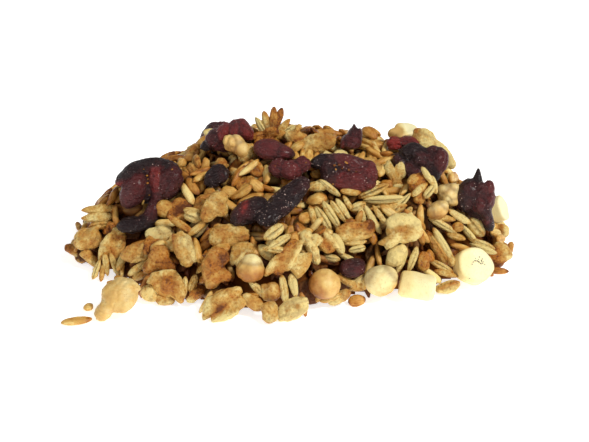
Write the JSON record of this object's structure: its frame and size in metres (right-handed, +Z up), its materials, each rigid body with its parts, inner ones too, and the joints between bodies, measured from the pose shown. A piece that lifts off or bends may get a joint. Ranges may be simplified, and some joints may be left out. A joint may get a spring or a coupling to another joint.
{
  "type": "heap of granola",
  "caption": "Loose heap of toasted granola lying on a flat base: oat grains, flakes and clusters with dried berries, banana slices and round nuts.",
  "frame": {"origin": "centre of the whole part's bounding box, at the ground the heap rests on", "axes": "+Z up, +X along the heap's long side, -Y towards its front, the side that the picture shows"},
  "size_m": [0.1448, 0.1084, 0.0452],
  "materials": {
    "toasted_oats": "dry toasted oats, golden with browner edges, matte with a faint syrup sheen",
    "banana": "dry pale cream slice with a few dark seed specks, matte",
    "nut": "roasted skinless nut, satin",
    "dried_berry": "wrinkled dark red to purple dried fruit, sticky semi-gloss with sugar specks"
  },
  "bodies": {
    "root": {"granola_heap": "toasted_oats", "banana_slice_1": "banana", "banana_slice_2": "banana", "banana_slice_3": "banana", "banana_slice_4": "banana", "banana_slice_5": "banana", "banana_slice_6": "banana", "nut_1": "nut", "nut_2": "nut", "nut_3": "nut", "nut_4": "nut", "nut_5": "nut", "nut_6": "nut", "nut_7": "nut", "nut_8": "nut", "dried_berry_1": "dried_berry", "dried_berry_2": "dried_berry", "dried_berry_3": "dried_berry", "dried_berry_4": "dried_berry", "dried_berry_5": "dried_berry", "dried_berry_6": "dried_berry", "dried_berry_7": "dried_berry", "dried_berry_8": "dried_berry", "dried_berry_9": "dried_berry", "dried_berry_10": "dried_berry", "dried_berry_11": "dried_berry", "dried_berry_12": "dried_berry", "dried_berry_13": "dried_berry", "dried_berry_14": "dried_berry", "dried_berry_15": "dried_berry", "dried_berry_16": "dried_berry", "dried_berry_17": "dried_berry", "dried_berry_18": "dried_berry", "dried_berry_19": "dried_berry", "nut_lump": "nut", "loose_oat": "toasted_oats", "loose_crumb": "toasted_oats"}
  },
  "joints": []
}
